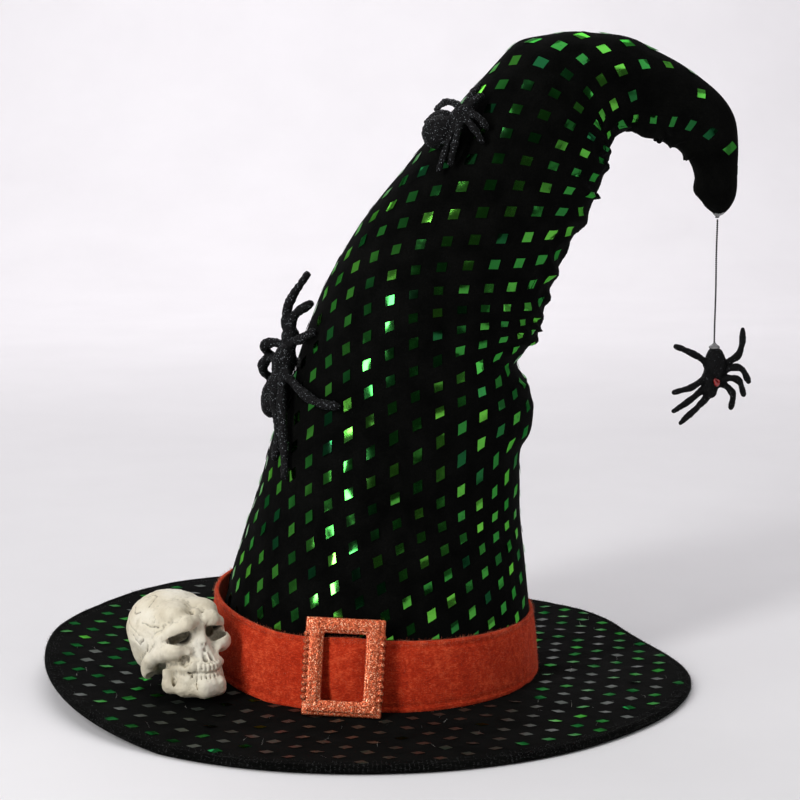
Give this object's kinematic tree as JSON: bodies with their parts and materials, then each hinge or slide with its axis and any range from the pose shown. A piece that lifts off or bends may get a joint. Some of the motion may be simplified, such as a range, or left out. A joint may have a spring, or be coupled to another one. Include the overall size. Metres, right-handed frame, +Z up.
{
  "type": "witch hat",
  "caption": "Crooked costume witch hat with a wide brim, felt band with buckle, skull, stuck-on spiders and a spider hanging from its tip.",
  "frame": {"origin": "centre of the head opening, on the plane that the brim stands on", "axes": "+Z up, front with the buckle along -Y, the crown curls over towards +X"},
  "size_m": [0.4193, 0.377, 0.3802],
  "materials": {
    "velour": "matte",
    "foam": "matte",
    "ribbon": "matte",
    "stiffener": "matte",
    "wire": "satin",
    "felt": "matte",
    "copper_glitter": "gloss",
    "glue": "gloss",
    "bone": "matte",
    "black_glitter": "satin",
    "black_plastic": "satin",
    "thread": "matte"
  },
  "bodies": {
    "hat": {"crown_cover": "velour", "crown_foam_lining": "foam", "crown_gather_elastic": "ribbon", "sweatband": "ribbon", "brim_top_cover": "velour", "brim_stiffener": "stiffener", "brim_under_cover": "velour", "brim_edge_wire": "wire", "hat_band": "felt", "buckle_frame": "copper_glitter", "buckle_glue_upper": "glue", "buckle_glue_lower": "glue", "skull": "bone", "skull_glue": "glue", "side_spider": "black_glitter", "side_spider_glue": "glue", "upper_spider": "black_glitter", "upper_spider_glue": "glue"},
    "tip": {"tip_cover": "velour", "tip_stuffing": "foam", "tip_gather_elastic": "ribbon", "tip_glue": "glue"},
    "knot": {"thread_knot": "thread"},
    "thread": {"hanging_thread": "thread"},
    "spider": {"hanging_spider": "black_plastic", "hanging_spider_glue": "glue"}
  },
  "joints": [
    {"name": "tip_bend", "type": "hinge", "parent": "hat", "child": "tip", "pos_m": [0.148, 0, 0.349], "axis": [0, 1, 0], "range_deg": [-20, 6], "stiffness_Nm_per_rad": 0.15, "springref_deg": -3.44},
    {"name": "thread_swing_side", "type": "hinge", "parent": "tip", "child": "knot", "pos_m": [0.201, 0, 0.2751], "axis": [0, -1, 0], "range_deg": [-25, 75]},
    {"name": "thread_swing_front", "type": "hinge", "parent": "knot", "child": "thread", "pos_m": [0.201, 0, 0.2751], "axis": [1, 0, 0], "range_deg": [-75, 75]},
    {"name": "spider_spin", "type": "hinge", "parent": "thread", "child": "spider", "pos_m": [0.201, 0, 0.2004], "axis": [0, 0, 1], "continuous": true}
  ]
}
